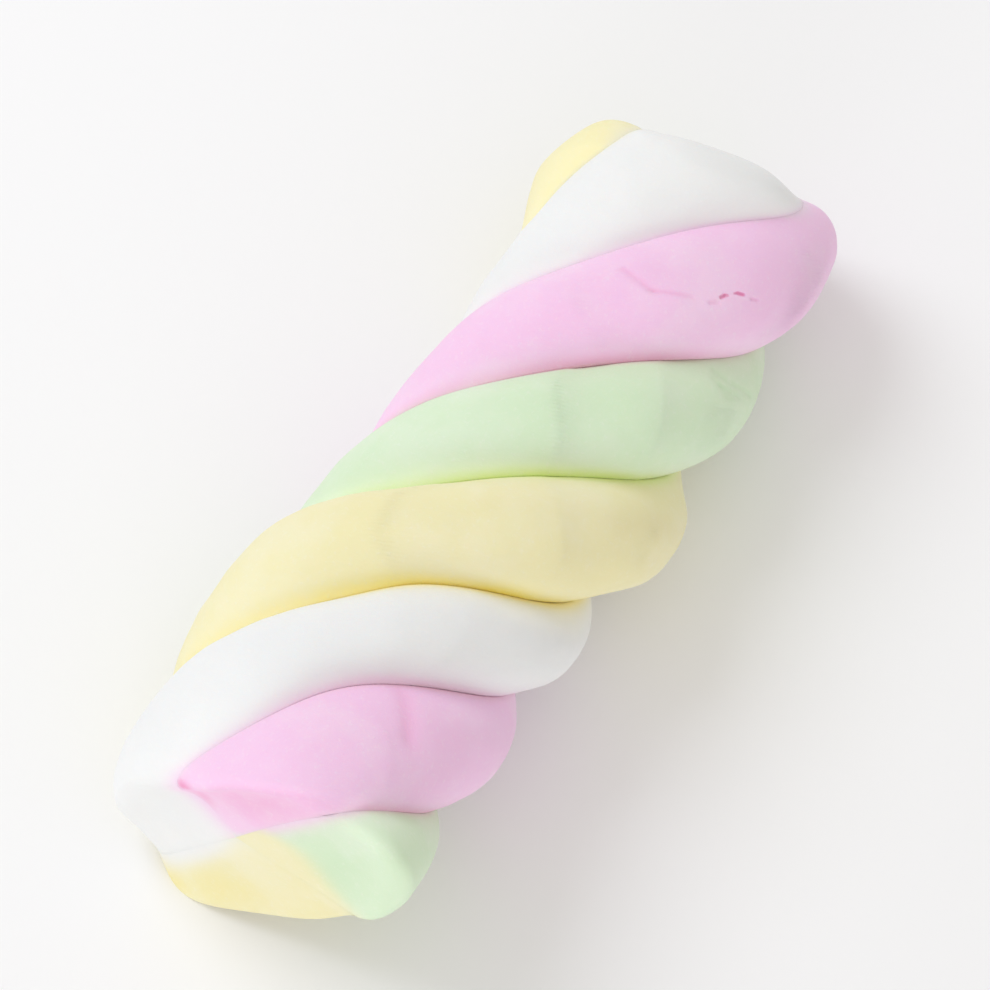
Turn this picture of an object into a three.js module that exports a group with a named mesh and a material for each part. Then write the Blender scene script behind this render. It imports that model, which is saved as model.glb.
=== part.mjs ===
// A twisted marshmallow: four soft strands, white, pink, green and yellow, laid up into one short
// right-handed rope and cut off at both ends. One of its sides is pressed smooth, and it lies on a
// flattened underside. Millimetres, and angles in degrees where degToRad reads them. The rope runs
// along X, +Z is up, and the origin is on the surface that it lies on, below the middle of its box.
import * as THREE from 'three';
import { LoftGeometry } from 'three/addons/geometries/LoftGeometry.js';

const { clamp, degToRad, euclideanModulo, inverseLerp, lerp } = THREE.MathUtils;

// Length, and the two cuts. While the rope is laid up, X = 0 is the middle of its axis. A cut's lean
// is the X that it gains for each millimetre of Y and of Z.
const HALF_LENGTH = 35.8;
const NEAR_CUT = { x: -36.4, leanY: -0.02, leanZ: 0.08 };
const FAR_CUT = { x: 36.4, leanY: -0.22, leanZ: -0.24 };

// Thickness: from the axis to a strand's ridge, at stations counted in half lengths from the middle.
const STATIONS = [-1, -0.8, -0.45, 0, 0.45, 0.8, 1];
const RIDGE_RADII = [12.8, 13, 12.8, 12.55, 12.3, 12, 11.8];
const OVAL = 0.064;                      // longer by this share across the pressed side
const OVAL_DIRECTION = degToRad(-11.5);

// The axis bends a little: how much of a bow and of an S it has, t counting half lengths from its
// middle, and its shift at the cuts.
const BEND_Y = { bow: 0.36, ess: 1.78 };
const BEND_Z = { bow: 1.18, ess: 0.53 };
const END_SHIFT = { nearY: -0.3, nearZ: -0.2, farY: 0.55, farZ: 0.35 };

// Twist.
const PITCH = 49.9;                      // length of a full turn at the middle
const FIRST_EDGE = degToRad(-165.1);     // where the white strand's first edge is, at the middle
const TWIST_EASING = { square: -0.273, cube: -0.321 };

// Lobes: each strand's face falls from its ridge to the creases on its two sides.
const CREASE_DEPTH = 0.221;              // as a share of the ridge radius
const CREASE_POWER = 2.38;               // a higher power gives a fuller lobe and a narrower crease
const RIDGE_SKEW = 0.02;
const PRESSED_SIDE = degToRad(-9.5);     // where round the axis the creases are pressed shallow
const PRESSED_SHARE = 0.75;
const PRESSED_WIDTH = 1.0;
const GAP = 0.3;                         // between neighbouring strands

// The blade pinches the rope as it cuts it: the section is squeezed along one direction.
const PINCH_START = 0.45;                // in half lengths from the middle
const NEAR_PINCH = { share: -0.46, direction: degToRad(-53) };
const FAR_PINCH = { share: -0.05, direction: degToRad(15) };
const PINCH_SPREAD = 0.4;                // the other direction grows by this share of the pinch
const PAST_CUT = 1.2;                    // the pinch goes on growing this far in a drawn-out tip
const CREASE_FADE = { near: 0.65, far: 0.3 };   // share of the creases' depth that is gone at a cut

// It also draws some strands' ends out to tips: how far past the cut, or below 0 how far pressed in,
// where round the axis, and how wide.
const NEAR_TIPS = [
  { reach: 3, angle: degToRad(50), spread: 0.8 },
  { reach: 1.7, angle: degToRad(277), spread: 0.42 },
  { reach: -1.5, angle: degToRad(317), spread: 0.42 },
];
const FAR_TIPS = [
  { reach: 1.3, angle: degToRad(50), spread: 0.42 },
  { reach: 0.95, angle: degToRad(112), spread: 0.52 },
  { reach: -1.75, angle: degToRad(149), spread: 0.35 },
  { reach: 0.8, angle: degToRad(190), spread: 0.6 },
  { reach: 0.8, angle: degToRad(280), spread: 0.78 },
];
const TIP_SHARPNESS = 4;                 // a higher power keeps the tip closer to the rim

// Cut faces. The strands meet off the axis in the near cut, by these shares of its radius.
const NEAR_HUB = { y: 0.13, z: 0 };
const RIM_ROUNDING = 1.2;
const CUT_BULGE = 0.5;
const CUT_RINGS = [0.15, 0.35, 0.6, 0.82];
const RIM_STEPS = 3;

// It lies tipped up on its near end, with its lowest ridges flattened by this much.
const REST_TILT = degToRad(3.6);
const REST_SINK = 1.1;

// How finely the strands are divided, and how often a point is moved to where it meets its cut.
const BODY_RINGS = 56;
const LOBE_POINTS = 11;
const WALL_DEPTHS = [0.25, 0.45, 0.65, 0.83];
const PASSES = 16;

// Where a strand's first edge strays from an even twist: by so many radians, at a place along the
// rope and over a length, both in half lengths.
const WHITE_STRAYS = [
  { by: -0.1, at: -0.37, over: 0.09 },
  { by: 0.1, at: -0.15, over: 0.1 },
  { by: 0.09, at: -0.67, over: 0.12 },
  { by: 0.22, at: -1.05, over: 0.2 },
];
const PINK_STRAYS = [
  { by: -0.19, at: -0.66, over: 0.18 },
  { by: 0.09, at: 0.97, over: 0.15 },
];
const GREEN_STRAYS = [{ by: -0.16, at: -0.95, over: 0.2 }];

// The strands, in the order in which they lie round the rope. The shift is how far a strand's first
// edge is from its quarter of the rope, and the drift is what the near cut adds to it, in radians.
// The girth is the share by which its face stands out further, at the girth stations.
const GIRTH_STATIONS = [-1, -0.6, 0.4, 0.85];
const EVEN = [0, 0, 0, 0];
const WHITE_FULL = [0.08, 0, 0, 0];
const YELLOW_FULL = [0.02, 0.1, 0.1, 0.12];
const STRANDS = [
  { name: 'strand_white', colour: 0xf0f0ee, shift: 0.063, drift: 0,
    strays: WHITE_STRAYS, girth: WHITE_FULL },
  { name: 'strand_pink', colour: 0xf3c4e6, shift: -0.045, drift: 0.3,
    strays: PINK_STRAYS, girth: EVEN },
  { name: 'strand_green', colour: 0xd8e8c9, shift: -0.024, drift: 0,
    strays: GREEN_STRAYS, girth: EVEN },
  { name: 'strand_yellow', colour: 0xefe7b7, shift: -0.022, drift: 0,
    strays: [], girth: YELLOW_FULL },
];
const QUARTER = Math.PI / 2;

const ridgeCurve = new THREE.CubicInterpolant(STATIONS, RIDGE_RADII, 1);

// 0 along the middle of the rope, rising to 1 at the cut on that side: -1 near, 1 far.
function towardsCut(t, side) {
  return clamp((side * t - PINCH_START) / (1 - PINCH_START), 0, PAST_CUT) ** 2;
}

function twistAt(t) {
  const easing = TWIST_EASING.square * t ** 2 + TWIST_EASING.cube * t ** 3;
  return FIRST_EDGE + (2 * Math.PI * t * HALF_LENGTH) / PITCH + easing;
}

// The middle of a section: the bent axis for its surface, 0, and the hub for its heart, 1.
function sectionCentre(t, hubward) {
  const bow = t ** 2 - 1 / 3;
  const ess = t ** 3 - 0.6 * t;
  const near = towardsCut(t, -1);
  const far = towardsCut(t, 1);
  const hubShift = ridgeCurve.evaluate(t)[0] * near * hubward;
  return {
    y: BEND_Y.bow * bow + BEND_Y.ess * ess + END_SHIFT.nearY * near
      + END_SHIFT.farY * far + NEAR_HUB.y * hubShift,
    z: BEND_Z.bow * bow + BEND_Z.ess * ess + END_SHIFT.nearZ * near
      + END_SHIFT.farZ * far + NEAR_HUB.z * hubShift,
  };
}

// 1 at a direction round the axis, falling smoothly to 0 past the width.
function nearDirection(angle, direction, width) {
  const aside = euclideanModulo(angle - direction + Math.PI, 2 * Math.PI) - Math.PI;
  return Math.exp(-((aside / width) ** 2));
}

// Share of the ridge radius at a place across a strand, from -1 at its first edge to 1 at its last.
function lobe(t, across, angle) {
  const pressed = 1 - PRESSED_SHARE * nearDirection(angle, PRESSED_SIDE, PRESSED_WIDTH);
  const faded = 1 - CREASE_FADE.near * towardsCut(t, -1) - CREASE_FADE.far * towardsCut(t, 1);
  const place = Math.abs(across + RIDGE_SKEW * (1 - across ** 2));
  const oval = 1 + OVAL * Math.cos(2 * (angle - OVAL_DIRECTION));
  return oval * (1 - CREASE_DEPTH * pressed * Math.max(faded, 0) * place ** CREASE_POWER);
}

// The X of a cut at a section point, with the tips drawn out.
function cutAt(cut, tips, point, angle, share) {
  let drawn = 0;
  for (const tip of tips) drawn += tip.reach * nearDirection(angle, tip.angle, tip.spread);
  const rise = Math.sign(cut.x) * drawn * share ** TIP_SHARPNESS;
  return cut.x + cut.leanY * point.y + cut.leanZ * point.z + rise;
}

// Where a strand's first edge is round the rope, before the twist.
function edgeAngle(index, t) {
  const { shift, drift, strays } = STRANDS[index % STRANDS.length];
  let angle = index * QUARTER + shift + drift * towardsCut(t, -1);
  for (const { by, at, over } of strays) angle += by * Math.exp(-(((t - at) / over) ** 2));
  return angle;
}

// How much further than the rope's even surface a strand stands out, none at its edges.
function fullness(girth, t, across) {
  const place = clamp(t, GIRTH_STATIONS[0], GIRTH_STATIONS.at(-1));
  const end = GIRTH_STATIONS.findIndex((station, i) => i > 0 && place <= station);
  const start = end - 1;
  const share = inverseLerp(GIRTH_STATIONS[start], GIRTH_STATIONS[end], place);
  return 1 + lerp(girth[start], girth[end], share) * (1 - across ** 4);
}

// Squeezes a section point in place, as the blade does near a cut.
function pinch(point, amount, direction) {
  const along = (point.y * Math.cos(direction) + point.z * Math.sin(direction)) * (1 - amount);
  const beside = point.z * Math.cos(direction) - point.y * Math.sin(direction);
  const spread = beside * (1 + PINCH_SPREAD * amount);
  point.y = along * Math.cos(direction) - spread * Math.sin(direction);
  point.z = along * Math.sin(direction) + spread * Math.cos(direction);
}

// A point of a strand. The outline gives its place in the section, and the ring gives the section's
// place along the rope, its share of the radius and how far it stands out of its cut.
function strandPoint(index, outline, ring) {
  const point = new THREE.Vector3(lerp(NEAR_CUT.x, FAR_CUT.x, ring.along), 0, 0);
  const place = (outline.across + 1) / 2;
  let hubward = 0;
  for (let pass = 0; pass < PASSES; pass += 1) {
    const t = point.x / HALF_LENGTH;
    const ridge = ridgeCurve.evaluate(t)[0];
    const firstEdge = edgeAngle(index, t);
    const lastEdge = edgeAngle(index + 1, t);
    const middle = lerp(firstEdge, lastEdge, place);
    const full = fullness(STRANDS[index].girth, t, outline.across);
    const surface = full * ridge * lobe(t, outline.across, middle + twistAt(t));
    const hubRadius = GAP / 2 / Math.sin((lastEdge - firstEdge) / 2);
    const radius = Math.max(surface * ring.share * outline.depth, hubRadius);
    const margin = Math.asin(GAP / 2 / radius);
    const angle = lerp(firstEdge + margin, lastEdge - margin, place) + twistAt(t);
    point.y = radius * Math.cos(angle);
    point.z = radius * Math.sin(angle);
    pinch(point, NEAR_PINCH.share * towardsCut(t, -1), NEAR_PINCH.direction);
    pinch(point, FAR_PINCH.share * towardsCut(t, 1), FAR_PINCH.direction);
    const near = cutAt(NEAR_CUT, NEAR_TIPS, point, angle, radius / ridge) - ring.out;
    const far = cutAt(FAR_CUT, FAR_TIPS, point, angle, radius / ridge) + ring.out;
    point.x = lerp(near, far, ring.along);
    hubward = 1 - radius / surface;
  }
  const centre = sectionCentre(point.x / HALF_LENGTH, hubward);
  point.y += centre.y;
  point.z += centre.z;
  return point;
}

// A section's outline: the hub, out along one wall, over the lobe and back along the other wall.
function sectionOutline() {
  const outline = [{ across: 0, depth: 0 }];
  for (const depth of WALL_DEPTHS) outline.push({ across: -1, depth });
  for (let i = 0; i < LOBE_POINTS; i += 1) {
    outline.push({ across: Math.sin(lerp(-QUARTER, QUARTER, i / (LOBE_POINTS - 1))), depth: 1 });
  }
  for (const depth of WALL_DEPTHS.toReversed()) outline.push({ across: 1, depth });
  return outline;
}

// The rings of one end: the bulged cut face from its middle out, then the rounded rim.
function endRings() {
  const rimShare = RIM_ROUNDING / RIDGE_RADII[0];
  const rings = [];
  for (const share of CUT_RINGS) {
    rings.push({ share: share * (1 - rimShare), out: CUT_BULGE * (1 - share ** 2) });
  }
  for (let step = 0; step <= RIM_STEPS; step += 1) {
    const angle = (QUARTER * step) / RIM_STEPS;
    const out = -RIM_ROUNDING * (1 - Math.cos(angle));
    rings.push({ share: 1 - rimShare * (1 - Math.sin(angle)), out });
  }
  return rings;
}

function strandRings() {
  const ends = endRings();
  const rimLength = RIM_ROUNDING / (FAR_CUT.x - NEAR_CUT.x);
  const body = [];
  for (let i = 1; i < BODY_RINGS; i += 1) {
    body.push({ along: lerp(rimLength, 1 - rimLength, i / BODY_RINGS), share: 1, out: 0 });
  }
  const near = ends.map((ring) => ({ ...ring, along: 0 }));
  const far = ends.toReversed().map((ring) => ({ ...ring, along: 1 }));
  return [...near, ...body, ...far];
}

function strandSections(index) {
  const outline = sectionOutline();
  return strandRings().map((ring) => outline.map((place) => strandPoint(index, place, ring)));
}

// Height over a plane through the origin that rises towards the far end by the rest's tilt.
function restHeight(point) {
  return point.z - Math.tan(REST_TILT) * point.x;
}

// Presses the lowest ridges flat. A point goes straight towards the hub, so that a point of a
// strand's wall stays on it.
function pressFlat(points) {
  const floor = Math.min(...points.map(restHeight)) + REST_SINK;
  for (const point of points) {
    const drop = floor - restHeight(point);
    if (drop > 0) {
      const hub = sectionCentre(point.x / HALF_LENGTH, 1);
      const kept = (hub.z - point.z - drop) / (hub.z - point.z);
      point.y = lerp(hub.y, point.y, kept);
      point.z += drop;
    }
  }
}

function strandMesh(sections, { name, colour }) {
  const geometry = new LoftGeometry(sections, { closed: true, capStart: true, capEnd: true });
  geometry.rotateY(REST_TILT);
  const material = new THREE.MeshStandardMaterial({ color: colour, roughness: 0.85, metalness: 0 });
  const mesh = new THREE.Mesh(geometry, material);
  mesh.name = name;
  return mesh;
}

const strands = STRANDS.map((strand, index) => strandSections(index));
pressFlat(strands.flat(2));

const rope = new THREE.Group();
rope.add(...strands.map((sections, index) => strandMesh(sections, STRANDS[index])));
const box = new THREE.Box3().setFromObject(rope);
const middle = box.getCenter(new THREE.Vector3());
rope.position.set(-middle.x, -middle.y, -box.min.z);

export default rope;
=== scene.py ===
import math

import bpy
import numpy as np
from mathutils import Matrix, Vector


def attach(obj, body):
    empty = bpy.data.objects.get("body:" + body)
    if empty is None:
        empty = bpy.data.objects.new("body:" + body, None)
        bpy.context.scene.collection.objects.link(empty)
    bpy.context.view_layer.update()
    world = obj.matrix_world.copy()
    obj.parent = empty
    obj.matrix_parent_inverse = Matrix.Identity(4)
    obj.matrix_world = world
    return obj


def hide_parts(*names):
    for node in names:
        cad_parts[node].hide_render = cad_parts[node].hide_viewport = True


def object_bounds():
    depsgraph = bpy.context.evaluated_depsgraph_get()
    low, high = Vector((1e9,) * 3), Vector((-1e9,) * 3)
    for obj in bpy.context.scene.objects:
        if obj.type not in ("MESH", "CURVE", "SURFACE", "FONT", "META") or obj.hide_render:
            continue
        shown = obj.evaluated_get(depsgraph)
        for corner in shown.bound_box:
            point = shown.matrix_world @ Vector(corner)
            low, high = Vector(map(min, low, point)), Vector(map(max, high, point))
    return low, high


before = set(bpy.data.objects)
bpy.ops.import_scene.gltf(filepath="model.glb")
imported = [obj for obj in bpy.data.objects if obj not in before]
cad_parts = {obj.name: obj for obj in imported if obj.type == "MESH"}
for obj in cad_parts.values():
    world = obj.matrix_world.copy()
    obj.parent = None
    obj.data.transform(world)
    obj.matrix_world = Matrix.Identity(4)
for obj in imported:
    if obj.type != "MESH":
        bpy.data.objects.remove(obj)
cad_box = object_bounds()

MM = 0.001
QUARTER = math.pi / 2

# ---- The rope, as it is laid up: X = 0 is the middle of its axis -------------------------------

# Places along the rope are counted in half lengths from its middle: -1 near, 1 far.
HALF_LENGTH = 35.8
# A cut's lean is the X that it gains for each millimetre of Y and of Z.
NEAR_CUT = {"x": -36.4, "lean_y": -0.02, "lean_z": 0.08}
FAR_CUT = {"x": 36.4, "lean_y": -0.22, "lean_z": -0.24}

# Thickness: from the axis to a strand's ridge, at stations along the rope.
STATIONS = [-1, -0.8, -0.45, 0, 0.45, 0.8, 1]
RIDGE_RADII = [12.8, 13, 12.8, 12.55, 12.3, 12, 11.8]
RIDGE_CURVE = np.polyfit(STATIONS, RIDGE_RADII, 4)
OVAL = 0.064               # longer by this share across the pressed side
OVAL_DIRECTION = math.radians(-11.5)

# The axis bends a little: its bow, its S, its shift at each cut, and the share of the radius by which
# the strands meet off the axis in the near cut.
BEND_Y = {"bow": 0.36, "ess": 1.78, "near": -0.3, "far": 0.55, "hub": 0.13}
BEND_Z = {"bow": 1.18, "ess": 0.53, "near": -0.2, "far": 0.35, "hub": 0}

PITCH = 49.9               # length of a full turn at the middle
FIRST_EDGE = math.radians(-165.1)    # where the white strand's first edge is, at the middle
TWIST_EASING = {"square": -0.273, "cube": -0.321}

# Each strand's face falls from its ridge to the creases on its two sides.
CREASE_DEPTH = 0.221       # as a share of the ridge radius
CREASE_POWER = 2.38        # a higher power gives a fuller strand and a narrower crease
RIDGE_SKEW = 0.02
PRESSED_SIDE = math.radians(-9.5)    # where round the axis the creases are pressed shallow
PRESSED_SHARE = 0.75
PRESSED_WIDTH = 1.0

# The blade squeezes the rope along one direction as it cuts it, and draws out its rim.
PINCH_START = 0.45         # in half lengths from the middle
PAST_CUT = 1.2             # the pinch goes on growing this far in a drawn-out tip
NEAR_PINCH = {"share": -0.46, "direction": math.radians(-53)}
FAR_PINCH = {"share": -0.05, "direction": math.radians(15)}
PINCH_SPREAD = 0.4         # the other direction grows by this share of the pinch
CREASE_FADE = {"near": 0.65, "far": 0.3}       # share of the creases' depth that is gone at a cut
TIP_SHARPNESS = 4          # a higher power keeps a tip closer to the rim
CUT_BULGE = 0.5
PASSES = 24                # how often a point is moved to where it meets its cut

# The forms of each cut. All are round the rope at a direction, so wide, in degrees.
# Tips that are drawn out at the rim, by so many millimetres, or pressed in where that is below 0.
TIPS = {
    "near": [(3, 50, 46), (0.7, -18, 30), (-1.6, -43, 24), (0.4, 52, 7),
             (1.7, 277, 24), (0.9, 194, 11), (-0.5, 212, 14)],
    "far": [(1.3, 50, 24), (-1, 5, 25), (0.95, 112, 30), (-1.75, 149, 20),
            (-0.5, 66, 12), (0.8, 190, 35), (0.8, 280, 45)],
}
# Dishes and raised rims: millimetres, direction, width, and the share of the radius and its width.
RELIEF = {
    "near": [(-0.7, 162, 30, 0.55, 0.25), (0.5, 165, 30, 0.93, 0.1), (-0.4, 255, 35, 0.6, 0.25)],
    "far": [(-0.6, 10, 35, 0.6, 0.25), (-0.4, 280, 40, 0.55, 0.25)],
}
# Where the rim is soft: how soft from 0 to 1, the direction, and the width.
SOFT_RIMS = {
    "near": [(1, 0, 48), (0.6, 122, 20)],
    "far": [(0.75, 112, 35), (0.7, 190, 34), (0.45, 280, 40), (0.7, 5, 28)],
}
# Where a strand's colour is deeper on the near cut, partly its own richer colour and partly painted
# shade where the cut turns from the light: how much, the direction and width, and the share of the
# radius and its width.
BLUSHES = {
    "white": [],
    "pink": [(0.36, 80, 40, 0.62, 0.3), (0.9, 40, 5, 0.86, 0.06), (0.5, 43, 6, 0.6, 0.2)],
    "green": [(0.2, 180, 40, 0.6, 0.2)],
    "yellow": [(0.9, 296, 14, 0.95, 0.16), (0.2, 262, 40, 0.7, 0.2)],
}
# How far a rim's rounding reaches back along the strand, and in over the cut.
CRISP_RIM = {"along": 0.9, "inward": 0.9}
SOFT_RIM = {"along": 5, "inward": 4}

# How the rope lies: tipped up on its near end, pressed flat underneath.
REST_TILT = math.radians(3.6)
REST_PLACE = Vector((-0.352, -0.070, 12.954))

# ---- One straight bar of foam, from which every strand is made ---------------------------------

BAR_RADIUS = 12.5
BAR_LENGTH = FAR_CUT["x"] - NEAR_CUT["x"]
BAR_ROUND = 160            # sides of the whole round that the quarter is cut from
BAR_RINGS = 145
WALL_CUTS = 5
SHOULDERS = {-1: 0.12, 1: 0.2}       # rounding of the first and the last long edge, at a crease
SHOULDER_STEPS = 6
SHOULDERS_END = {"near": (-24, -34), "far": (31, 35)}   # where they die away towards the cuts
# A crease that closes early: the two strands, each with the side that it has there, and from where.
FLAT_CREASE = {"between": (("white", 1), ("pink", -1)), "far": (6, 16)}
SEAM = 0.001               # between neighbouring strands
CUT_MIDDLE = 7.2           # from the hub to where the rings of a cut are centred
CUT_RINGS = [0.97, 0.94, 0.9, 0.86, 0.81, 0.75, 0.67, 0.58, 0.47, 0.35, 0.22, 0.1]
MARK_FADE = 4              # a higher power keeps a mark closer to the skin
SMOOTH_ANGLE = math.radians(50)

# Where the colours change. Places along the bar, and distances from the wall between two strands.
CUT_FINISH = {"along": 2.5, "power": 0.7, "blush": 6}    # how a cut's finish fades back from it
NEAR_PART = (-20, -33)     # where the finish of the near part sets in
FAR_PART = (4, 18)
CREASE_SHADE_PALING = (8, 28)     # where the creases lose their painted shade
CREASE_SHADE_LOSS = {"near": 0.5, "far": 0.85}
CREASE_SHADE_WIDTHS = {"first": 0.5, "last": 1.3}          # of the painted shade, a darker colour, beside a crease
# How soft the run from one colour to the next is, and how far it lies inside the strand. Both are for
# its first and its last side, and both lose a share in the near and the far part.
RUN_WIDTHS = {"white": (0.8, 0.8), "pink": (0.3, 0.4), "green": (0.3, 0.3), "yellow": (0.3, 0.3)}
RUN_OVER = {"white": (0.7, 0.5), "pink": (0, 0), "green": (0, 0), "yellow": (0, 0)}
RUN_LOSS = {"width": 0.6, "over": 0.7}
RUN_STEEPNESS = 1.5
RUN_LIMIT = 20             # past which a run is plainly one colour
# How strong the painted crease shade is everywhere, and where round the rope it is at full strength,
# in degrees.
CREASE_SHADE_STRENGTH = {"everywhere": 0.3, "direction": 130, "width": 55}
CUT_RUN = 0.7              # how far colours run into each other on a cut
# Where a colour has spread over its neighbour on the near cut: by how much at the hub, and halfway
# out to the rim.
CUT_SPREADS = {
    ("green", "last"): (4.4, 0), ("green", "first"): (0, 0.9),
    ("yellow", "last"): (0, 1.6), ("white", "last"): (0, 0.7),
}
LIT_MARGIN_WIDTH = 2.6         # of the painted light: a brighter margin above a crease, standing in for light that comes through the foam
LIT_MARGIN_LOSS = 0.7          # share of it that is gone at the near cut

SWELLS = [("broad_swell", 9, 0.5), ("small_lumps", 2.4, 0.1)]    # name, size and height
SWELL_FREE = {"walls": (0.2, 2.2), "cuts": (0.5, 4), "floor": 0.3}    # how far off they set in
SWELL_GROUP = "free"
SWELL_LEVELS = 8

# Each strand's node. How far its first edge is from its quarter of the rope, and what the near cut
# adds to that, in radians. The share by which its face stands out further, at the girth stations.
# Where its first edge strays from an even twist: radians, place along the rope, and over how much.
GIRTH_STATIONS = [-1, -0.6, 0.4, 0.85]
STRANDS = {
    "white": {"node": "strand_white", "shift": 0.063, "drift": 0, "girth": [0.08, 0, 0, 0],
              "strays": [(-0.1, -0.37, 0.09), (0.1, -0.15, 0.1), (0.09, -0.67, 0.12),
                         (0.22, -1.05, 0.2)]},
    "pink": {"node": "strand_pink", "shift": -0.045, "drift": 0.3, "girth": [0, 0, 0, 0],
             "strays": [(-0.19, -0.66, 0.18), (0.09, 0.97, 0.15)]},
    "green": {"node": "strand_green", "shift": -0.024, "drift": 0, "girth": [0, 0, 0, 0],
              "strays": [(-0.16, -0.95, 0.2)]},
    "yellow": {"node": "strand_yellow", "shift": -0.022, "drift": 0, "girth": [0.02, 0.1, 0.1, 0.12],
               "strays": []},
}
ORDER = list(STRANDS)


def neighbours(name):
    """The strands that lie against a strand's first and last wall."""
    index = ORDER.index(name)
    return ORDER[index - 1], ORDER[(index + 1) % len(ORDER)]


def coordinates(mesh):
    points = np.empty(len(mesh.vertices) * 3)
    mesh.vertices.foreach_get("co", points)
    return points.reshape(-1, 3)


def put_coordinates(mesh, points):
    mesh.vertices.foreach_set("co", np.ascontiguousarray(points, dtype=np.float32).ravel())
    mesh.update()


def add_values(mesh, name, values):
    attribute = mesh.attributes.new(name, "FLOAT", "POINT")
    attribute.data.foreach_set("value", np.ascontiguousarray(values, dtype=np.float32))


def select(bar, kind, chosen):
    """In edit mode, selects the chosen vertices, edges or faces of the bar, and nothing else."""
    bpy.ops.mesh.select_mode(type={"vertices": "VERT", "edges": "EDGE", "polygons": "FACE"}[kind])
    bpy.ops.mesh.select_all(action="DESELECT")
    bpy.ops.object.mode_set(mode="OBJECT")
    flags = np.zeros(len(getattr(bar.data, kind)), bool)
    flags[chosen] = True
    getattr(bar.data, kind).foreach_set("select", flags)
    bpy.ops.object.mode_set(mode="EDIT")


def edge_ends(bar):
    """Both end points of every edge of the bar, as two arrays."""
    bar.update_from_editmode()
    points = coordinates(bar.data)
    ends = np.empty(len(bar.data.edges) * 2, int)
    bar.data.edges.foreach_get("vertices", ends)
    ends = ends.reshape(-1, 2)
    return points[ends[:, 0]], points[ends[:, 1]]


def shape_bar():
    """A straight bar with a quarter-round section: hub along X, rounded shoulders, ringed ends."""
    bpy.ops.object.select_all(action="DESELECT")
    near = -BAR_LENGTH / 2
    bpy.ops.mesh.primitive_circle_add(vertices=BAR_ROUND, radius=BAR_RADIUS, fill_type="NGON",
                                      location=(near, 0, 0), rotation=(0, QUARTER, 0))
    bar = bpy.context.object
    bpy.ops.object.transform_apply(location=True, rotation=True, scale=True)
    bpy.ops.object.mode_set(mode="EDIT")
    for lean in (1, -1):
        bpy.ops.mesh.select_all(action="SELECT")
        bpy.ops.mesh.bisect(plane_co=(near, 0, 0), plane_no=(0, 1, lean), clear_inner=True)

    for side, rounding in SHOULDERS.items():
        bar.update_from_editmode()
        points = coordinates(bar.data)
        reach = np.hypot(points[:, 1], points[:, 2])
        on_edge = side * points[:, 2] > points[:, 1] - 0.001
        select(bar, "vertices", (reach > BAR_RADIUS / 2) & on_edge)
        bpy.ops.mesh.bevel(offset=rounding, segments=SHOULDER_STEPS, affect="VERTICES",
                           clamp_overlap=False)

    bpy.ops.mesh.select_all(action="SELECT")
    bpy.ops.mesh.delete(type="ONLY_FACE")
    one, other = edge_ends(bar)
    select(bar, "edges", np.linalg.norm(one - other, axis=1) > BAR_RADIUS / 2)
    bpy.ops.mesh.subdivide(number_cuts=WALL_CUTS)
    bpy.ops.mesh.select_all(action="SELECT")
    bpy.ops.mesh.edge_face_add()

    bpy.ops.mesh.select_all(action="SELECT")
    bpy.ops.mesh.extrude_region_move(TRANSFORM_OT_translate={"value": (BAR_LENGTH, 0, 0)})
    one, other = edge_ends(bar)
    select(bar, "edges", np.abs(one[:, 0] - other[:, 0]) > 1)
    bpy.ops.mesh.subdivide(number_cuts=BAR_RINGS)

    bar.update_from_editmode()
    sides = np.array([len(face.vertices) for face in bar.data.polygons])
    select(bar, "polygons", sides > 20)      # the two ends
    size = 1
    for ring in CUT_RINGS:
        bpy.ops.mesh.extrude_region_move(TRANSFORM_OT_translate={"value": (0, 0, 0)})
        bpy.ops.transform.resize(value=(1, ring / size, ring / size),
                                 center_override=(0, CUT_MIDDLE, 0))
        size = ring
    bpy.ops.mesh.poke()
    bpy.ops.mesh.select_all(action="SELECT")
    bpy.ops.mesh.normals_make_consistent(inside=False)
    bpy.ops.object.mode_set(mode="OBJECT")

    finer = bar.modifiers.new("finer", "SUBSURF")
    finer.subdivision_type = "SIMPLE"
    finer.levels = finer.render_levels = 1
    bpy.ops.object.modifier_apply(modifier=finer.name)
    return bar


def outline_at(points):
    """How far out the bar's outline is, in the direction of each point."""
    reach = np.hypot(points[:, 1], points[:, 2])
    angle = np.arctan2(points[:, 2], points[:, 1])
    skin = (np.abs(points[:, 0]) < 1) & (reach > BAR_RADIUS - 1.02 * max(SHOULDERS.values()))
    order = np.argsort(angle[skin])
    return np.interp(angle, angle[skin][order], reach[skin][order])


def fill_shoulders(points, name):
    """Lets the shoulders die away towards the cuts, where the strands run into each other."""
    edge = outline_at(points)
    fill = sum(smooth_step(points[:, 0], *SHOULDERS_END[end]) for end in ("near", "far"))
    for strand, side in FLAT_CREASE["between"]:
        if strand == name:
            closed = smooth_step(points[:, 0], *FLAT_CREASE["far"]) * (side * points[:, 2] > 0)
            fill = np.maximum(fill, closed)
    filled = points.copy()
    filled[:, 1:] *= (1 + fill * (BAR_RADIUS / edge - 1))[:, None]
    return filled, edge + fill * (BAR_RADIUS - edge)


# ---- Marks of handling -------------------------------------------------------------------------

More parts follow.
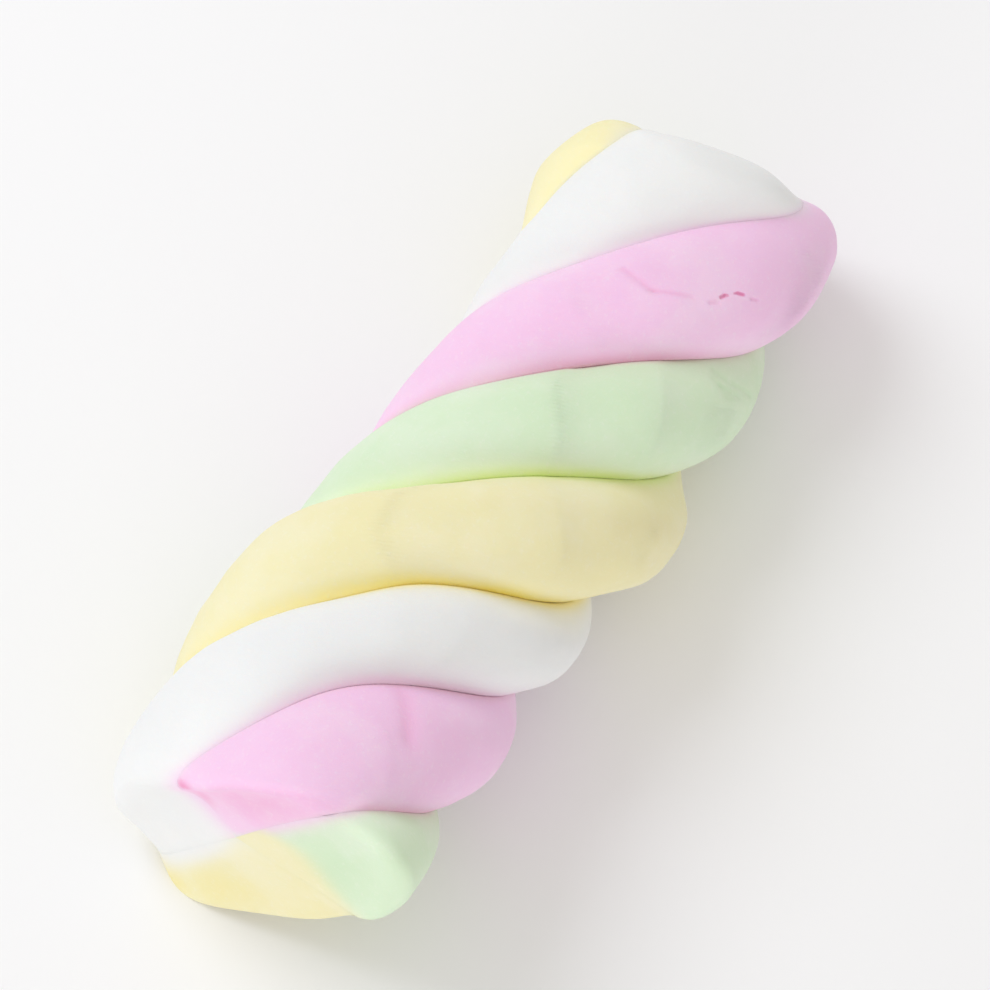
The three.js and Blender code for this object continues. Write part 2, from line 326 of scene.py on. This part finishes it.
# Each mark runs between two places on a strand's face, given by the distance along the bar and the
# share across it. A fold is a groove, a facet falls away on the right of its line, and a nick is a
# short groove with deeper colour in it. Then come its width and depth.
MARKS = {
    "white": [
        ("facet", (-19, 0.6), (-12.5, -0.6), 3.5, 0.26),
        ("facet", (20, 0.7), (27, -0.6), 3, 0.2),
    ],
    "pink": [
        ("fold", (22.1, -0.4), (20.8, 0), 0.28, 0.09),
        ("fold", (20.8, 0), (21.8, 0.09), 0.25, 0.06),
        ("facet", (14.5, 0.8), (17.6, 0.1), 1.6, 0.2),
        ("fold", (-22.6, -0.8), (-26, -0.22), 0.85, 0.22),
        ("facet", (-30, 0.3), (-26.5, -0.4), 2.2, 0.16),
        ("nick", (23.45, 0.09), (23.8, 0.065), 0.1, 0.14),
        ("nick", (23.85, 0.06), (24.05, 0.06), 0.07, 0.08),
        ("nick", (24.95, 0.025), (25.3, 0.04), 0.1, 0.14),
        ("nick", (24.65, 0.03), (24.9, 0.02), 0.06, 0.08),
        ("fold", (22.4, 0.17), (22.9, 0.16), 0.18, 0.1),
        ("fold", (25.65, 0.09), (26, 0.1), 0.14, 0.12),
    ],
    "green": [
        ("facet", (3.2, 0.73), (11.5, -0.92), 2, 0.4),
        ("facet", (8, 0.7), (15.2, -0.8), 3, 0.4),
        ("facet", (-6, 0.6), (1, -0.7), 3, 0.2),
        ("fold", (18.9, -0.85), (18.5, -0.52), 0.3, 0.11),
        ("fold", (18.3, -0.75), (17.8, -0.5), 0.28, 0.1),
        ("fold", (17.9, -0.62), (17.3, -0.48), 0.25, 0.08),
    ],
    "yellow": [
        ("facet", (-12.8, 0.85), (-5, -0.6), 2.5, 0.45),
        ("facet", (-7.6, 0.9), (0, -0.7), 3.5, 0.4),
        ("facet", (-22, 0.7), (-16, -0.5), 3, 0.2),
    ],
}
FOLD_DEEPENS = 0.2         # share of a nick's deeper colour that a fold has
MARK_CUTS = {"within": 3, "skin": 0.2, "cuts": 3}    # where faces are divided round folds and nicks


def beside_line(face, start, end):
    """How far unrolled points are to the left of a mark's line, and how far past its ends."""
    start, end = (unrolled(np.array([place[0]]), np.array([place[1]]))[0] for place in (start, end))
    length = np.linalg.norm(end - start)
    onward = (end - start) / length
    run = (face - start) @ onward
    aside = (face - start) @ np.array([-onward[1], onward[0]])
    return aside, np.maximum(np.maximum(-run, run - length), 0)


def marks_on(name, along, across):
    """The height that a strand's marks add at its points, and how far the colour deepens there."""
    height = np.zeros(len(along))
    deeper = np.zeros(len(along))
    face = unrolled(along, across)
    for kind, start, end, width, depth in MARKS[name]:
        aside, past = beside_line(face, start, end)
        if kind == "facet":
            fall = np.maximum(aside, 0) / width
            height -= depth * fall * np.exp(1 - fall) * np.exp(-(past / width) ** 2)
        else:
            groove = np.exp(-(aside ** 2 + past ** 2) / width ** 2)
            height -= depth * groove
            deeper += groove * (1 if kind == "nick" else FOLD_DEEPENS)
    return height, np.minimum(deeper, 1)


# ---- Laying up ---------------------------------------------------------------------------------

def smooth_step(value, start, end):
    """0 before the start and 1 past the end, with a smooth rise between them."""
    share = np.clip((value - start) / (end - start), 0, 1)
    return share * share * (3 - 2 * share)


def towards_cut(t, side):
    """0 along the middle of the rope, rising to 1 at the cut on that side: -1 near, 1 far."""
    return np.clip((side * t - PINCH_START) / (1 - PINCH_START), 0, PAST_CUT) ** 2


def twist_at(t):
    """How far round the white strand's first edge is at a place along the rope."""
    easing = TWIST_EASING["square"] * t ** 2 + TWIST_EASING["cube"] * t ** 3
    return FIRST_EDGE + 2 * math.pi * t * HALF_LENGTH / PITCH + easing


def unrolled(along, across):
    """Where a place on a strand's face is when the rope's surface is rolled out flat."""
    turn = twist_at(along / HALF_LENGTH) + across * QUARTER / 2
    return np.stack([along, BAR_RADIUS * turn], axis=1)


def ridge_at(t):
    return np.polyval(RIDGE_CURVE, t)


def bend_at(t, bend, hubward):
    """How far a section is off the straight axis, at its surface, 0, or at its hub, 1."""
    near = towards_cut(t, -1)
    return (bend["bow"] * (t ** 2 - 1 / 3) + bend["ess"] * (t ** 3 - 0.6 * t)
            + bend["near"] * near + bend["far"] * towards_cut(t, 1)
            + bend["hub"] * ridge_at(t) * near * hubward)


def near_direction(angle, direction, width):
    """1 at a direction round the axis, falling smoothly to 0 past the width."""
    aside = (angle - direction + math.pi) % (2 * math.pi) - math.pi
    return np.exp(-(aside / width) ** 2)


def lobe(t, across, angle):
    """Share of the ridge radius at a place across a strand, -1 to 1 between its edges."""
    pressed = 1 - PRESSED_SHARE * near_direction(angle, PRESSED_SIDE, PRESSED_WIDTH)
    faded = 1 - CREASE_FADE["near"] * towards_cut(t, -1) - CREASE_FADE["far"] * towards_cut(t, 1)
    place = np.abs(across + RIDGE_SKEW * (1 - across ** 2))
    oval = 1 + OVAL * np.cos(2 * (angle - OVAL_DIRECTION))
    return oval * (1 - CREASE_DEPTH * pressed * np.maximum(faded, 0) * place ** CREASE_POWER)


def edge_angle(strand, t):
    """How far a strand's first edge is from its quarter of the rope."""
    strayed = sum(by * np.exp(-((t - at) / over) ** 2) for by, at, over in strand["strays"])
    return strand["shift"] + strand["drift"] * towards_cut(t, -1) + strayed


def round_about(angle, direction, width):
    """As near_direction, with the direction and the width in degrees."""
    return near_direction(angle, math.radians(direction), math.radians(width))


def cut_at(end, y, z, angle, share):
    """The X of a cut at a point of the section."""
    cut = {"near": NEAR_CUT, "far": FAR_CUT}[end]
    out = CUT_BULGE * (1 - share ** 2)
    for reach, direction, width in TIPS[end]:
        drawn = reach * round_about(angle, direction, width)
        out = out + drawn * np.minimum(share, 1) ** TIP_SHARPNESS
    for height, direction, width, middle, band in RELIEF[end]:
        raised = height * round_about(angle, direction, width)
        out = out + raised * np.exp(-((share - middle) / band) ** 2)
    return cut["x"] + cut["lean_y"] * y + cut["lean_z"] * z + math.copysign(1, cut["x"]) * out


def round_rim(end, angle, from_end, inward):
    """Moves what is near the corner of a cut in, on to its rounded rim."""
    soft = sum(share * round_about(angle, direction, width)
               for share, direction, width in SOFT_RIMS[end])
    soft = np.minimum(soft, 1)
    along = CRISP_RIM["along"] + (SOFT_RIM["along"] - CRISP_RIM["along"]) * soft
    into = CRISP_RIM["inward"] + (SOFT_RIM["inward"] - CRISP_RIM["inward"]) * soft
    end_share = np.clip(1 - from_end / along, 0, 1)
    skin_share = np.clip(1 - inward / into, 0, 1)
    rolled = (end_share > 0) & (skin_share > 0)
    new_end = along * (1 - end_share * np.sqrt(1 - skin_share ** 2 / 2))
    new_skin = into * (1 - skin_share * np.sqrt(1 - end_share ** 2 / 2))
    return np.where(rolled, new_end, from_end), np.where(rolled, new_skin, inward)


def pinch(y, z, amount, direction):
    """Squeezes section points in place, as the blade does near a cut."""
    along = (y * math.cos(direction) + z * math.sin(direction)) * (1 - amount)
    beside = (z * math.cos(direction) - y * math.sin(direction)) * (1 + PINCH_SPREAD * amount)
    return (along * math.cos(direction) - beside * math.sin(direction),
            along * math.sin(direction) + beside * math.cos(direction))


def lay_up(bar_points, name):
    """Takes a bar's points to their place in the rope.

    Also gives where each lies: across its strand, round the rope, and out from its axis.
    """
    points, edge = fill_shoulders(bar_points, name)
    strand = STRANDS[name]
    after = STRANDS[neighbours(name)[1]]
    start = ORDER.index(name) * QUARTER
    near_side = points[:, 0] < 0
    from_end = BAR_LENGTH / 2 - np.abs(points[:, 0])
    reach = np.hypot(points[:, 1], points[:, 2])
    across = np.clip(np.arctan2(points[:, 2], points[:, 1]) / (QUARTER / 2), -1, 1)
    across = np.where(reach < 1e-6, 0, across)
    place = (across + 1) / 2
    near_skin = np.clip(reach / BAR_RADIUS, 0, 1) ** MARK_FADE
    height = marks_on(name, points[:, 0], across)[0] * near_skin
    angle = start + QUARTER * place + twist_at(points[:, 0] / HALF_LENGTH)
    x = points[:, 0].copy()
    for _ in range(PASSES):
        rims = {end: round_rim(end, angle, from_end, edge - reach) for end in ("near", "far")}
        off_end, inward = np.where(near_side, rims["near"], rims["far"])
        depth = (edge - inward) / BAR_RADIUS
        t = x / HALF_LENGTH
        near = towards_cut(t, -1)
        first = start + edge_angle(strand, t)
        last = start + QUARTER + edge_angle(after, t)
        angle = first + (last - first) * place
        girth = 1 + np.interp(t, GIRTH_STATIONS, strand["girth"]) * (1 - across ** 4)
        surface = girth * ridge_at(t) * lobe(t, across, angle + twist_at(t))
        hub = SEAM / 2 / np.sin((last - first) / 2)
        radius = np.maximum(surface * depth + height, hub)
        margin = np.arcsin(SEAM / 2 / radius)
        angle = first + margin + (last - first - 2 * margin) * place + twist_at(t)
        y, z = radius * np.cos(angle), radius * np.sin(angle)
        y, z = pinch(y, z, NEAR_PINCH["share"] * near, NEAR_PINCH["direction"])
        y, z = pinch(y, z, FAR_PINCH["share"] * towards_cut(t, 1), FAR_PINCH["direction"])
        share = radius / ridge_at(t)
        x_near, x_far = cut_at("near", y, z, angle, share), cut_at("far", y, z, angle, share)
        along = np.where(near_side, off_end, BAR_LENGTH - off_end) / BAR_LENGTH
        x = x_near + (x_far - x_near) * along
    hubward = 1 - radius / surface
    y += bend_at(x / HALF_LENGTH, BEND_Y, hubward)
    z += bend_at(x / HALF_LENGTH, BEND_Z, hubward)
    return np.stack([x, y, z], axis=1), {"across": across, "angle": angle, "share": share}


def set_down(points):
    """Turns and moves laid-up points to where the rope lies, and presses its lowest ridges flat."""
    turn = np.array(Matrix.Rotation(REST_TILT, 3, "Y"))
    placed = points @ turn.T + np.array(REST_PLACE)
    placed[:, 2] = np.maximum(placed[:, 2], 0)
    return placed


# ---- Finishes ----------------------------------------------------------------------------------

# How many of each pattern's forms there are to the metre, and how rough the foam is.
PATTERNS = {"clouds": 110, "patches": 150, "specks": 2600, "grain": 3800}
ROUGHNESS = {"least": 0.72, "grain": 0.25}
STARCH_COLOUR = (0.94, 0.93, 0.91, 1)


def node(tree, kind, place, **settings):
    made = tree.nodes.new(kind)
    made.location = place
    for key, value in settings.items():
        setattr(made, key, value)
    return made


def group_with(name, inputs, outputs):
    """An empty shader node group with its sockets, and its input and output nodes."""
    group = bpy.data.node_groups.new(name, "ShaderNodeTree")
    for label, kind, value in inputs:
        socket = group.interface.new_socket(label, in_out="INPUT", socket_type=kind)
        socket.default_value = value
    for label, kind in outputs:
        group.interface.new_socket(label, in_out="OUTPUT", socket_type=kind)
    given = node(group, "NodeGroupInput", (-900, 0))
    out = node(group, "NodeGroupOutput", (900, 0))
    return group, given, out


def noise(tree, coords, place, scale, detail, roughness):
    made = node(tree, "ShaderNodeTexNoise", place)
    made.inputs["Scale"].default_value = scale
    made.inputs["Detail"].default_value = detail
    made.inputs["Roughness"].default_value = roughness
    tree.links.new(coords, made.inputs["Vector"])
    return made.outputs["Fac"]


def ramp(tree, value, place, low, high):
    made = node(tree, "ShaderNodeMapRange", place, interpolation_type="SMOOTHSTEP")
    made.inputs["From Min"].default_value = low
    made.inputs["From Max"].default_value = high
    tree.links.new(value, made.inputs["Value"])
    return made.outputs["Result"]


def math_node(tree, kind, place, first, second):
    made = node(tree, "ShaderNodeMath", place, operation=kind)
    for socket, value in zip(made.inputs, (first, second)):
        if isinstance(value, (int, float)):
            socket.default_value = value
        else:
            tree.links.new(value, socket)
    return made.outputs["Value"]


def mix(tree, place, factor, first, second):
    made = node(tree, "ShaderNodeMix", place, data_type="RGBA")
    for key, value in (("Factor", factor), ("A", first), ("B", second)):
        socket = next(s for s in made.inputs if s.name == key and s.enabled)
        if isinstance(value, (int, float, tuple)):
            socket.default_value = value
        else:
            tree.links.new(value, socket)
    return next(s for s in made.outputs if s.enabled)


def value_of(tree, name, place):
    return node(tree, "ShaderNodeAttribute", place, attribute_name=name).outputs["Fac"]


def starch_group():
    """A thin uneven dusting of starch: paler patches, specks, and the grain that they make."""
    group, given, out = group_with(
        "starch_dusting",
        [("Colour", "NodeSocketColor", (0.9, 0.9, 0.9, 1)), ("Dust", "NodeSocketFloat", 0.3)],
        [("Colour", "NodeSocketColor"), ("Roughness", "NodeSocketFloat"),
         ("Height", "NodeSocketFloat")])
    coords = node(group, "ShaderNodeTexCoord", (-900, -300)).outputs["Object"]
    patches = noise(group, coords, (-700, 100), PATTERNS["patches"], detail=3, roughness=0.6)
    patches = ramp(group, patches, (-500, 100), low=0.42, high=0.68)
    specks = noise(group, coords, (-700, -150), PATTERNS["specks"], detail=2, roughness=0.6)
    specks = ramp(group, specks, (-500, -150), low=0.52, high=0.78)
    grain = noise(group, coords, (-700, -400), PATTERNS["grain"], detail=3, roughness=0.65)
    cover = math_node(group, "ADD", (-300, 0), patches, specks)
    share = math_node(group, "MULTIPLY", (-100, 0), cover, given.outputs["Dust"])
    dusted = mix(group, (100, 100), share, given.outputs["Colour"], STARCH_COLOUR)
    rough = math_node(group, "MULTIPLY", (100, -150), grain, ROUGHNESS["grain"])
    rough = math_node(group, "ADD", (300, -150), rough, ROUGHNESS["least"])
    height = math_node(group, "MULTIPLY", (100, -350), specks, 0.5)
    height = math_node(group, "ADD", (300, -350), height, grain)
    group.links.new(dusted, out.inputs["Colour"])
    group.links.new(rough, out.inputs["Roughness"])
    group.links.new(height, out.inputs["Height"])
    return group


def border_group():
    """Where a strand meets its neighbours: colours run together on a cut, painted shade darkens them
    in a crease, and painted light brightens the margin above it.
    """
    group, given, out = group_with(
        "strand_borders",
        [("Colour", "NodeSocketColor", (0.9, 0.9, 0.9, 1)),
         ("First colour", "NodeSocketColor", (0.9, 0.9, 0.9, 1)),
         ("Last colour", "NodeSocketColor", (0.9, 0.9, 0.9, 1)),
         ("First crease", "NodeSocketColor", (0.9, 0.9, 0.9, 1)),
         ("Last crease", "NodeSocketColor", (0.9, 0.9, 0.9, 1)),
         ("Marked", "NodeSocketColor", (0.8, 0.8, 0.8, 1)),
         ("Margin", "NodeSocketColor", (0.9, 0.9, 0.9, 1))],
        [("Colour", "NodeSocketColor")])
    # The margin colour is painted light: brighter above a crease, where light comes through the foam.
    marked = value_of(group, "deeper", (-900, 500))
    margin = value_of(group, "margin", (-900, 700))
    colour = mix(group, (-700, 700), margin, given.outputs["Colour"], given.outputs["Margin"])
    colour = mix(group, (-500, 500), marked, colour, given.outputs["Marked"])
    # The crease colours mixed in here are painted shade and bounce light.
    for row, side in enumerate(("first", "last")):
        run = value_of(group, "run_" + side, (-700, 300 - 400 * row))
        crease = value_of(group, "crease_" + side, (-700, 100 - 400 * row))
        title = side.capitalize()
        colour = mix(group, (-300 + 500 * row, 300), run, colour, given.outputs[title + " colour"])
        colour = mix(group, (-100 + 500 * row, 100), crease, colour, given.outputs[title + " crease"])
    group.links.new(colour, out.inputs["Colour"])
    return group


def swirl_group():
    """Slow changes of a foam's colour, from paler to deeper, drawn out along the rope."""
    group, given, out = group_with(
        "foam_clouding",
        [("Colour", "NodeSocketColor", (0.9, 0.9, 0.9, 1)),
         ("Deeper", "NodeSocketColor", (0.8, 0.8, 0.8, 1)), ("Amount", "NodeSocketFloat", 0.4)],
        [("Colour", "NodeSocketColor")])
    coords = node(group, "ShaderNodeTexCoord", (-900, -300)).outputs["Object"]
    stretched = node(group, "ShaderNodeMapping", (-700, -300))
    stretched.inputs["Scale"].default_value = (0.6, 1, 1)
    group.links.new(coords, stretched.inputs["Vector"])
    clouds = noise(group, stretched.outputs["Vector"], (-500, 0), PATTERNS["clouds"],
                   detail=3, roughness=0.5)
    clouds = ramp(group, clouds, (-300, 0), low=0.35, high=0.75)
    share = math_node(group, "MULTIPLY", (-100, 0), clouds, given.outputs["Amount"])
    clouded = mix(group, (200, 0), share, given.outputs["Colour"], given.outputs["Deeper"])
    group.links.new(clouded, out.inputs["Colour"])
    return group


def linear(red, green, blue):
    """A linear colour from its sRGB numbers, 0 to 255."""
    parts = np.array([red, green, blue]) / 255
    made = np.where(parts <= 0.04045, parts / 12.92, ((parts + 0.055) / 1.055) ** 2.4)
    return (*(float(part) for part in made), 1)


# Each foam's own colour, the deeper colour of its clouding, the colour of its marks and blushes, and
# a brighter margin colour that is painted light above a crease.
FOAMS = {
    "white": {"colour": linear(237, 238, 238), "deeper": linear(232, 231, 227),
              "marked": linear(226, 218, 206), "margin": linear(242, 242, 241)},
    "pink": {"colour": linear(246, 204, 236), "deeper": linear(240, 184, 222),
             "marked": linear(236, 138, 188), "margin": linear(253, 214, 243)},
    "green": {"colour": linear(216, 236, 204), "deeper": linear(202, 228, 184),
              "marked": linear(184, 216, 170), "margin": linear(233, 250, 217)},
    "yellow": {"colour": linear(240, 233, 185), "deeper": linear(236, 224, 162),
               "marked": linear(240, 222, 112), "margin": linear(252, 244, 196)},
}
# Painted shade and bounce light: the colour painted in a strand's first and last crease, darker or
# more saturated than the foam.
CREASE_SHADE_COLOURS = {
    "white": (linear(250, 236, 170), linear(240, 222, 230)),
    "pink": (linear(244, 200, 222), linear(236, 160, 196)),
    "green": (linear(222, 214, 196), linear(222, 240, 150)),
    "yellow": (linear(232, 238, 160), linear(255, 233, 100)),
}


def foam_material(name, groups):
    first, last = neighbours(name)
    material = bpy.data.materials.new(name + "_foam")
    material.use_nodes = True
    tree = material.node_tree
    tree.nodes.clear()
    clouding = node(tree, "ShaderNodeGroup", (-900, 200), node_tree=groups["clouding"])
    clouding.inputs["Colour"].default_value = FOAMS[name]["colour"]
    clouding.inputs["Deeper"].default_value = FOAMS[name]["deeper"]
    clouding.inputs["Amount"].default_value = 0.25
    borders = node(tree, "ShaderNodeGroup", (-650, 200), node_tree=groups["borders"])
    borders.inputs["First colour"].default_value = FOAMS[first]["colour"]
    borders.inputs["Last colour"].default_value = FOAMS[last]["colour"]
    borders.inputs["First crease"].default_value = CREASE_SHADE_COLOURS[name][0]
    borders.inputs["Last crease"].default_value = CREASE_SHADE_COLOURS[name][1]
    borders.inputs["Marked"].default_value = FOAMS[name]["marked"]
    borders.inputs["Margin"].default_value = FOAMS[name]["margin"]
    starch = node(tree, "ShaderNodeGroup", (-400, 200), node_tree=groups["starch"])
    starch.inputs["Dust"].default_value = 0.14
    bump = node(tree, "ShaderNodeBump", (-150, -100))
    bump.inputs["Strength"].default_value = 0.25
    bump.inputs["Distance"].default_value = 0.08 * MM
    shader = node(tree, "ShaderNodeBsdfPrincipled", (100, 200))
    shader.inputs["Subsurface Weight"].default_value = 0.15
    shader.inputs["Subsurface Radius"].default_value = (1.0, 0.75, 0.6)
    shader.inputs["Subsurface Scale"].default_value = 0.5 * MM
    shader.inputs["Specular IOR Level"].default_value = 0.25
    shader.inputs["Sheen Weight"].default_value = 0.15
    shader.inputs["Sheen Roughness"].default_value = 0.6
    output = node(tree, "ShaderNodeOutputMaterial", (400, 200))
    link = tree.links.new
    link(clouding.outputs["Colour"], borders.inputs["Colour"])
    link(borders.outputs["Colour"], starch.inputs["Colour"])
    link(starch.outputs["Colour"], shader.inputs["Base Color"])
    link(starch.outputs["Roughness"], shader.inputs["Roughness"])
    link(starch.outputs["Height"], bump.inputs["Height"])
    link(bump.outputs["Normal"], shader.inputs["Normal"])
    link(shader.outputs["BSDF"], output.inputs["Surface"])
    return material


# ---- Making the strands ------------------------------------------------------------------------

def spread_over(name, side, share):
    """How far the neighbour's colour has spread over a strand on the near cut, or has drawn back."""
    other = neighbours(name)[side == "last"]
    opposite = {"first": "last", "last": "first"}[side]
    for pair, sign in (((name, side), 1), ((other, opposite), -1)):
        if pair in CUT_SPREADS:
            at_hub, halfway = CUT_SPREADS[pair]
            inside = np.clip(1 - share, 0, 1)
            # Four times the share times what is left of it is 1 halfway out.
            return sign * (at_hub * inside + halfway * 4 * share * inside)
    return 0


def surface_values(name, bar_points, where):
    """What the finish needs to know at each point of a strand."""
    along = bar_points[:, 0]
    from_end = BAR_LENGTH / 2 - np.abs(along)
    on_cut = np.clip(1 - from_end / CUT_FINISH["along"], 0, 1) ** CUT_FINISH["power"]
    near_end = smooth_step(along, *NEAR_PART)
    end = np.maximum(near_end, smooth_step(along, *FAR_PART))
    # How strong the painted crease shade is at each point, by where it lies round the rope.
    crease_shade_strength = CREASE_SHADE_STRENGTH["everywhere"] + (1 - CREASE_SHADE_STRENGTH["everywhere"]) * round_about(
        where["angle"], CREASE_SHADE_STRENGTH["direction"], CREASE_SHADE_STRENGTH["width"])
    deeper = marks_on(name, along, where["across"])[1] * (on_cut == 0)
    # Blushes: partly the cut's own richer colour, partly painted shade where the cut turns from the
    # light.
    for amount, direction, width, middle, band in BLUSHES[name]:
        here = np.exp(-((where["share"] - middle) / band) ** 2) * (along < 0)
        here = here * on_cut ** CUT_FINISH["blush"]
        deeper = np.maximum(deeper, amount * here * round_about(where["angle"], direction, width))
    values = {"deeper": deeper}
    # The painted crease shade pales in the far part and in the near part.
    pale = CREASE_SHADE_LOSS["far"] * smooth_step(along, *CREASE_SHADE_PALING)
    faded = (1 - pale - CREASE_SHADE_LOSS["near"] * near_end) * crease_shade_strength
    for side, sign in (("first", -1), ("last", 1)):
        wall = (bar_points[:, 1] - sign * bar_points[:, 2]) / math.sqrt(2)
        width = RUN_WIDTHS[name][sign > 0] * (1 - RUN_LOSS["width"] * end) * (1 - on_cut)
        width = width + CUT_RUN * on_cut
        over = RUN_OVER[name][sign > 0] * (1 - RUN_LOSS["over"] * end) * (1 - on_cut)
        over = over + spread_over(name, side, where["share"]) * on_cut * (along < 0)
        past = np.clip((wall - over) / width, -RUN_LIMIT, RUN_LIMIT)
        values["run_" + side] = 1 / (1 + np.exp(RUN_STEEPNESS * past))
        values["crease_" + side] = (1 - on_cut) * faded * np.exp(-(wall / CREASE_SHADE_WIDTHS[side]) ** 2)
    # Painted light: a brighter margin beside the last crease.
    last_wall = (bar_points[:, 1] - bar_points[:, 2]) / math.sqrt(2)
    margin = (1 - on_cut) * (1 - LIT_MARGIN_LOSS * near_end)
    values["margin"] = margin * np.exp(-(last_wall / LIT_MARGIN_WIDTH) ** 2)
    return values


def refine_at_marks(piece, name):
    """Divides the faces round a strand's fine folds and nicks, so that these keep their shape."""
    centres = np.empty(len(piece.data.polygons) * 3)
    piece.data.polygons.foreach_get("center", centres)
    centres = centres.reshape(-1, 3)
    across = np.arctan2(centres[:, 2], centres[:, 1]) / (QUARTER / 2)
    on_skin = np.hypot(centres[:, 1], centres[:, 2]) > BAR_RADIUS - MARK_CUTS["skin"]
    face = unrolled(centres[:, 0], across)
    near_mark = np.zeros(len(centres), bool)
    for kind, start, end, width, _ in MARKS[name]:
        aside, past = beside_line(face, start, end)
        near_mark |= (kind != "facet") & (np.hypot(aside, past) < MARK_CUTS["within"] * width)
    bpy.context.view_layer.objects.active = piece
    piece.select_set(True)
    bpy.ops.object.mode_set(mode="EDIT")
    select(piece, "polygons", near_mark & on_skin)
    bpy.ops.mesh.subdivide(number_cuts=MARK_CUTS["cuts"])
    bpy.ops.object.mode_set(mode="OBJECT")


def swell(piece, free):
    """Uneven swelling of the foam: broad swells and small lumps, none at a crease or a cut."""
    group = piece.vertex_groups.new(name=SWELL_GROUP)
    for level in range(1, SWELL_LEVELS + 1):
        members = np.flatnonzero(np.round(free * SWELL_LEVELS) == level)
        group.add([int(index) for index in members], level / SWELL_LEVELS, "REPLACE")
    for name, size, strength in SWELLS:
        texture = bpy.data.textures.new(name, "CLOUDS")
        texture.noise_scale = size * MM
        texture.noise_depth = 1
        pushed = piece.modifiers.new(name, "DISPLACE")
        pushed.texture = texture
        pushed.texture_coords = "LOCAL"
        pushed.strength = strength * MM
        pushed.mid_level = 0.5
        pushed.vertex_group = SWELL_GROUP
        bpy.ops.object.modifier_apply(modifier=pushed.name)
    piece.vertex_groups.clear()


def make_strand(name, bar, groups):
    piece = bpy.data.objects.new(name + "_strand", bar.data.copy())
    piece.data.name = name + "_strand"
    bpy.context.scene.collection.objects.link(piece)
    bpy.ops.object.select_all(action="DESELECT")
    refine_at_marks(piece, name)
    bar_points = coordinates(piece.data)
    laid, where = lay_up(bar_points, name)
    for label, values in surface_values(name, bar_points, where).items():
        add_values(piece.data, label, values)
    placed = set_down(laid)
    laid_height = placed[:, 2]
    put_coordinates(piece.data, placed * MM)
    piece.data.materials.append(foam_material(name, groups))
    bpy.ops.object.select_all(action="DESELECT")
    piece.select_set(True)
    bpy.context.view_layer.objects.active = piece
    bpy.ops.object.mode_set(mode="EDIT")
    bpy.ops.mesh.select_all(action="SELECT")
    bpy.ops.mesh.normals_make_consistent(inside=False)
    bpy.ops.object.mode_set(mode="OBJECT")
    walls = np.stack([bar_points[:, 1] - bar_points[:, 2], bar_points[:, 1] + bar_points[:, 2]])
    from_walls = walls.min(axis=0) / math.sqrt(2)
    from_ends = BAR_LENGTH / 2 - np.abs(bar_points[:, 0])
    free = smooth_step(from_walls, *SWELL_FREE["walls"]) * smooth_step(from_ends, *SWELL_FREE["cuts"])
    swell(piece, free * (laid_height > SWELL_FREE["floor"]))
    bpy.ops.object.shade_smooth_by_angle(angle=SMOOTH_ANGLE)
    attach(piece, "root")
    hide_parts(STRANDS[name]["node"])


groups = {"starch": starch_group(), "borders": border_group(), "clouding": swirl_group()}
bar = shape_bar()
for name in STRANDS:
    make_strand(name, bar, groups)
bpy.data.objects.remove(bar)

# ---- Floor, light and camera -------------------------------------------------------------------

bpy.ops.object.select_all(action="DESELECT")
bpy.ops.mesh.primitive_plane_add(size=4, location=(0, 0, 0))
floor = bpy.context.object
floor.name = "pale_floor"
floor_paint = bpy.data.materials.new("pale_floor")
floor_paint.use_nodes = True
floor_shader = floor_paint.node_tree.nodes["Principled BSDF"]
floor_shader.inputs["Base Color"].default_value = (0.92, 0.92, 0.925, 1)
floor_shader.inputs["Roughness"].default_value = 0.8
floor.data.materials.append(floor_paint)

# The camera's direction, in the rope's own frame before it is set down.
CAMERA_AZIMUTH = math.radians(-56.349)
CAMERA_ELEVATION = math.radians(64.033)
CAMERA_DISTANCE = 440.9
CAMERA_LENS = 190

turn = Matrix.Rotation(REST_TILT, 3, "Y")
back = turn @ Vector((math.sin(CAMERA_AZIMUTH) * math.cos(CAMERA_ELEVATION),
                      -math.cos(CAMERA_AZIMUTH) * math.cos(CAMERA_ELEVATION),
                      math.sin(CAMERA_ELEVATION)))
right = turn @ Vector((math.cos(CAMERA_AZIMUTH), math.sin(CAMERA_AZIMUTH), 0))
up = back.cross(right)
target = (cad_box[0] + cad_box[1]) / 2

camera_data = bpy.data.cameras.new("camera")
camera_data.lens = CAMERA_LENS
camera_data.sensor_width = 36
camera_data.clip_start = 0.01
camera = bpy.data.objects.new("camera", camera_data)
bpy.context.scene.collection.objects.link(camera)
facing = Matrix((right, up, back)).transposed().to_4x4()
camera.matrix_world = Matrix.Translation(target + back * CAMERA_DISTANCE * MM) @ facing
bpy.context.scene.camera = camera


def softbox(name, direction, distance, size, power, colour):
    light = bpy.data.lights.new(name, "AREA")
    light.shape = "DISK"
    light.size = size
    light.energy = power
    light.color = colour
    lamp = bpy.data.objects.new(name, light)
    bpy.context.scene.collection.objects.link(lamp)
    lamp.location = target + direction.normalized() * distance
    lamp.rotation_mode = "QUATERNION"
    lamp.rotation_quaternion = direction.to_track_quat("Z", "Y")


softbox("key_softbox", up * 0.9 - right * 0.75 + back * 0.8,
        distance=0.7, size=0.45, power=1.72, colour=(0.95, 1, 1.07))
softbox("near_softbox", back * 0.5 - up * 0.9 - right * 0.3,
        distance=0.8, size=0.6, power=2.1, colour=(0.98, 1, 1.04))

world = bpy.data.worlds.new("studio")
world.use_nodes = True
world.node_tree.nodes["Background"].inputs["Color"].default_value = (1, 0.975, 0.945, 1)
world.node_tree.nodes["Background"].inputs["Strength"].default_value = 0.72
bpy.context.scene.world = world
bpy.context.scene.view_settings.view_transform = "Standard"
